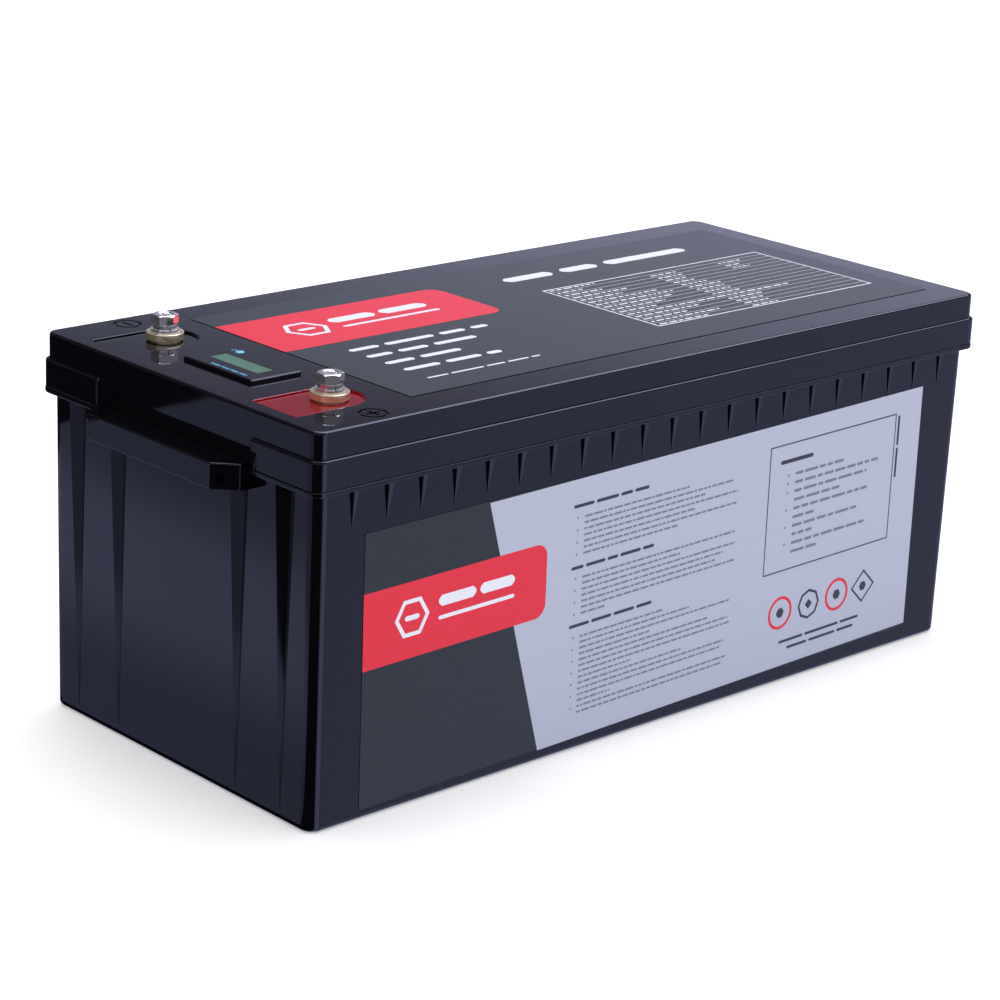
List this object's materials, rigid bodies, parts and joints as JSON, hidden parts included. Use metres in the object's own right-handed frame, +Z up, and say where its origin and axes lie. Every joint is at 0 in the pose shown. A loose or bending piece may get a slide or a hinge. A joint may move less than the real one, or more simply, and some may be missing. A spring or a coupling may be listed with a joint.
{
  "type": "deep cycle battery",
  "caption": "Long rectangular sealed lithium battery in a black plastic case with bolt terminals, an inset display, printed labels and carrying ledges at both ends.",
  "frame": {"origin": "centre of the base, on the surface the battery stands on", "axes": "+Z up, +X along the length away from the terminals, +Y across to the negative terminal side"},
  "size_m": [0.552, 0.24, 0.2325],
  "materials": {
    "case_plastic": "gloss",
    "red_plastic": "gloss",
    "seal_rubber": "matte",
    "plated_brass": "polished",
    "plated_steel": "polished",
    "steel_strap": "satin",
    "bezel_plastic": "satin",
    "clear_cover": "gloss",
    "lcd_cell": "gloss",
    "button_plastic": "gloss",
    "circuit_board": "satin",
    "chip_plastic": "matte",
    "label_film": "satin",
    "cell_can": "satin",
    "aluminium": "satin",
    "copper": "polished",
    "insulation_sheet": "matte",
    "end_plate_metal": "satin",
    "foam": "matte",
    "black_cable": "satin",
    "red_cable": "satin"
  },
  "bodies": {
    "case": {"base_foam": "foam", "board_screws": "plated_steel", "board_standoffs": "copper", "cable_lugs": "copper", "cell_1": "cell_can", "cell_2": "cell_can", "cell_3": "cell_can", "cell_4": "cell_can", "cell_5": "cell_can", "cell_6": "cell_can", "cell_7": "cell_can", "cell_8": "cell_can", "cell_links": "copper", "cell_nuts": "plated_steel", "cell_posts": "aluminium", "cell_spacers": "insulation_sheet", "container": "case_plastic", "cover_board": "insulation_sheet", "display_bezel": "bezel_plastic", "display_board": "circuit_board", "display_cable": "black_cable", "display_screen": "lcd_cell", "display_window": "clear_cover", "end_foam": "foam", "front_foam": "foam", "grip_ledge_far_end": "case_plastic", "grip_ledge_terminal_end": "case_plastic", "lid": "case_plastic", "lid_seal": "seal_rubber", "management_board": "circuit_board", "management_bracket": "end_plate_metal", "management_connectors": "chip_plastic", "management_heat_sink": "aluminium", "management_power_tabs": "copper", "management_transistors": "chip_plastic", "negative_post": "plated_brass", "negative_surround": "case_plastic", "outlet_negative_lead": "black_cable", "pack_end_plates": "end_plate_metal", "pack_negative_lead": "black_cable", "pack_positive_lead": "red_cable", "pack_straps": "steel_strap", "positive_post": "plated_brass", "positive_surround": "red_plastic", "rear_foam": "foam", "sense_wires": "black_cable", "side_label": "label_film", "temperature_probe": "black_cable", "terminal_nuts": "plated_steel", "terminal_o_rings": "seal_rubber", "top_foam": "foam", "top_label": "label_film"},
    "positive_washers": {"positive_flat_washer": "plated_steel", "positive_spring_washer": "plated_steel"},
    "negative_washers": {"negative_flat_washer": "plated_steel", "negative_spring_washer": "plated_steel"},
    "positive_bolt": {"positive_bolt": "plated_steel"},
    "negative_bolt": {"negative_bolt": "plated_steel"},
    "display_button": {"display_button": "button_plastic"}
  },
  "joints": [
    {"name": "positive_bolt_rise", "type": "slide", "parent": "case", "child": "positive_washers", "axis": [0, 0, 1], "range_m": [0, 0.01125]},
    {"name": "positive_bolt_turn", "type": "hinge", "parent": "positive_washers", "child": "positive_bolt", "pos_m": [-0.2125, -0.0705, 0.227], "axis": [0, 0, 1], "range_deg": [0, 3245]},
    {"name": "negative_bolt_rise", "type": "slide", "parent": "case", "child": "negative_washers", "axis": [0, 0, 1], "range_m": [0, 0.01125]},
    {"name": "negative_bolt_turn", "type": "hinge", "parent": "negative_washers", "child": "negative_bolt", "pos_m": [-0.2125, 0.0705, 0.227], "axis": [0, 0, 1], "range_deg": [0, 3245]},
    {"name": "display_button_press", "type": "slide", "parent": "case", "child": "display_button", "axis": [0, 0, -1], "range_m": [0, 0.0005], "stiffness_N_per_m": 400, "springref_m": -0.0005}
  ],
  "couplings": [
    {"joint": "positive_bolt_turn", "follows": "positive_bolt_rise", "rad_per_m": 5026.5},
    {"joint": "negative_bolt_turn", "follows": "negative_bolt_rise", "rad_per_m": 5026.5}
  ]
}
